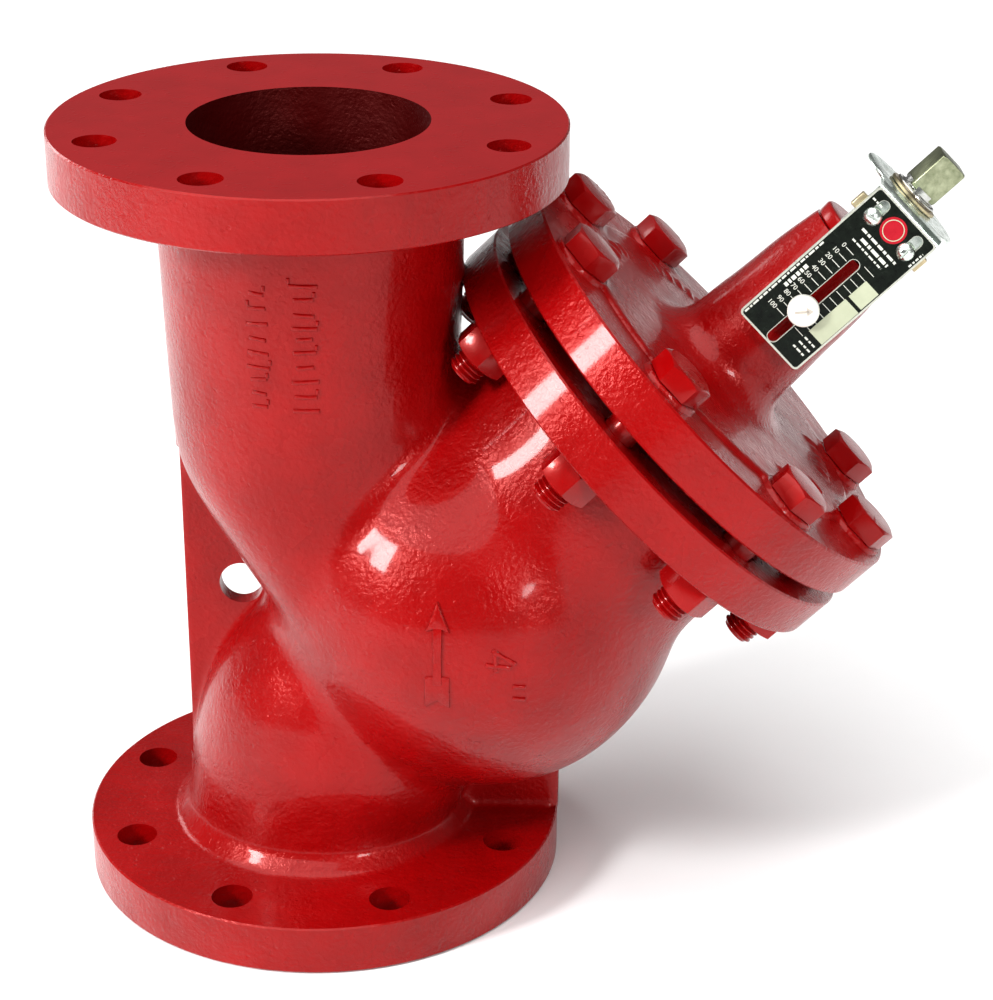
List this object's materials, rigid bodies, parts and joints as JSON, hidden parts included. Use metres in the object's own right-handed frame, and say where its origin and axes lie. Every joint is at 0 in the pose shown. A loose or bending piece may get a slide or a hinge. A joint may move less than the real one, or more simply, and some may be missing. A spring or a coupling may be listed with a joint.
{
  "type": "combination check, balancing and shut-off valve",
  "caption": "Flanged vertical pipe valve with a Y-pattern body, slanted bolted cover, rising stem with square drive, sliding scale plate and spring-loaded check disc.",
  "frame": {"origin": "centre of the bounding box's footprint, on the plane of the inlet flange's face", "axes": "+Z along the pipe axis from the inlet flange to the outlet flange, +X towards the side on which the cover leans out, +Y away from the side that carries the scale plate"},
  "size_m": [0.4007, 0.2286, 0.3683],
  "materials": {
    "red_paint": "glossy red enamel over sand-cast iron and over the bolting",
    "zinc_plate": "bright zinc plate",
    "brass": "dull machined brass",
    "bronze": "machined bronze",
    "stainless": "turned stainless steel",
    "rubber": "moulded black rubber",
    "gasket": "pressed fibre sheet",
    "black_plate": "black printed plate with a bright border and white marks",
    "white_plastic": "white moulded plastic"
  },
  "bodies": {
    "housing": {"body": "red_paint", "cover": "red_paint", "cover_gasket": "gasket", "seat_ring": "bronze", "stem_bush": "bronze", "stem_oring_lower": "rubber", "stem_oring_upper": "rubber", "oring_spacer": "brass", "packing_nut": "red_paint", "pointer_pin": "brass", "pointer_button": "white_plastic", "disc_spring": "stainless", "cover_bolt_1": "red_paint", "cover_bolt_2": "red_paint", "cover_bolt_3": "red_paint", "cover_bolt_4": "red_paint", "cover_bolt_5": "red_paint", "cover_bolt_6": "red_paint", "cover_bolt_7": "red_paint", "cover_bolt_8": "red_paint", "cover_nut_1": "red_paint", "cover_nut_2": "red_paint", "cover_nut_3": "red_paint", "cover_nut_4": "red_paint", "cover_nut_5": "red_paint", "cover_nut_6": "red_paint", "cover_nut_7": "red_paint", "cover_nut_8": "red_paint"},
    "indicator": {"indicator_bracket": "zinc_plate", "plate_nut_bar": "brass", "nameplate": "black_plate", "plate_screw_left": "zinc_plate", "plate_screw_right": "zinc_plate"},
    "stem": {"stem": "stainless", "retaining_washer": "brass", "snap_ring": "stainless"},
    "disc": {"check_disc": "bronze", "disc_seal": "rubber", "seal_retainer": "bronze", "disc_nut": "bronze"}
  },
  "joints": [
    {"name": "stem_lift", "type": "slide", "parent": "housing", "child": "indicator", "axis": [0.7071, 0, 0.7071], "range_m": [-0.0248, 0.0152]},
    {"name": "stem_turn", "type": "hinge", "parent": "indicator", "child": "stem", "pos_m": [-0.08599, 0, 0.071], "axis": [0.7071, 0, 0.7071], "range_deg": [-2233, 1369]},
    {"name": "disc_lift", "type": "slide", "parent": "housing", "child": "disc", "axis": [0.7071, 0, 0.7071], "range_m": [-0.02481, 0.01521], "deforming": ["disc_spring"]}
  ],
  "couplings": [
    {"joint": "stem_turn", "follows": "stem_lift", "rad_per_m": 1570.8},
    {"joint": "disc_lift", "follows": "stem_lift", "ratio": 1}
  ]
}
